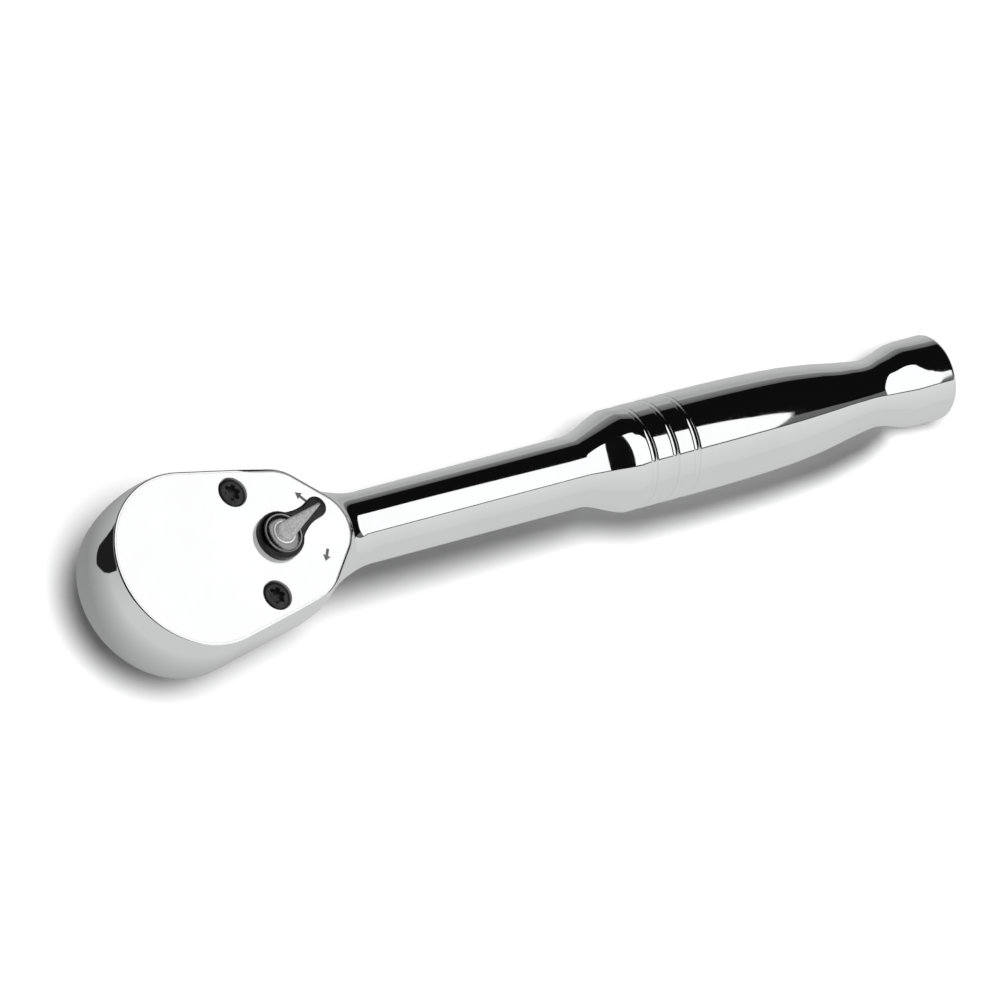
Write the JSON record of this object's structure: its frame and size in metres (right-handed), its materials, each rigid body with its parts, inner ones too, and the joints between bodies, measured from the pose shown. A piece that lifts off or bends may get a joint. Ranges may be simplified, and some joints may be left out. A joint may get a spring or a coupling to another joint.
{
  "type": "ratchet wrench",
  "caption": "Teardrop-head 3/8 inch ratchet wrench with a thumb lever, square drive, round shank and flared contoured grip.",
  "frame": {"origin": "centre of the square drive's end face", "axes": "+X from the drive axis along the handle, +Z from the drive's end up through the cover plate, +Y to the left of the handle seen from the lever side"},
  "size_m": [0.1869, 0.0346, 0.0311],
  "materials": {
    "chrome": "mirror-polished chrome",
    "satin_plate": "fine satin chrome",
    "seal_rubber": "smooth black rubber",
    "black_screw": "black oxide",
    "gear_steel": "hardened steel, lightly plated",
    "washer_steel": "bright steel",
    "ball_steel": "polished bearing steel",
    "spring_steel": "spring steel",
    "lever_steel": "dark chrome base, satin thumb tab"
  },
  "bodies": {
    "housing": {"body": "chrome", "cover_plate": "satin_plate", "cover_gasket": "seal_rubber", "cover_screw_left": "black_screw", "cover_screw_right": "black_screw", "pawl_pin": "washer_steel", "lever_washer": "washer_steel", "gear_thrust_washer": "washer_steel"},
    "gear": {"drive_gear": "gear_steel", "gear_seal": "seal_rubber", "retention_spring": "spring_steel"},
    "ball": {"retention_ball": "ball_steel"},
    "pawl": {"pawl": "gear_steel"},
    "lever": {"reverse_lever": "lever_steel", "selector_shaft": "gear_steel", "lever_seal": "seal_rubber", "lever_retaining_ring": "spring_steel", "plunger_spring": "spring_steel"},
    "plunger": {"pawl_plunger": "washer_steel"}
  },
  "joints": [
    {"name": "gear_spin", "type": "hinge", "parent": "housing", "child": "gear", "pos_m": [0, 0, 0.02], "axis": [0, 0, 1], "continuous": true},
    {"name": "ball_press", "type": "slide", "parent": "gear", "child": "ball", "axis": [1, 0, 0], "range_m": [0, 0.0005], "stiffness_N_per_m": 2000, "springref_m": -0.001, "deforming": ["retention_spring"]},
    {"name": "lever_swing", "type": "hinge", "parent": "housing", "child": "lever", "pos_m": [0.0173, 0, 0.025], "axis": [0, 0, 1], "range_deg": [-40, 0]},
    {"name": "pawl_rock", "type": "hinge", "parent": "housing", "child": "pawl", "pos_m": [0.01275, 0, 0.02], "axis": [0, 0, 1], "range_deg": [0, 7]},
    {"name": "plunger_press", "type": "slide", "parent": "lever", "child": "plunger", "axis": [0.9397, 0.342, 0], "range_m": [0, 0.0005], "stiffness_N_per_m": 1000, "springref_m": -0.001, "deforming": ["plunger_spring"]}
  ],
  "couplings": [
    {"joint": "pawl_rock", "follows": "lever_swing", "ratio": -0.175}
  ]
}
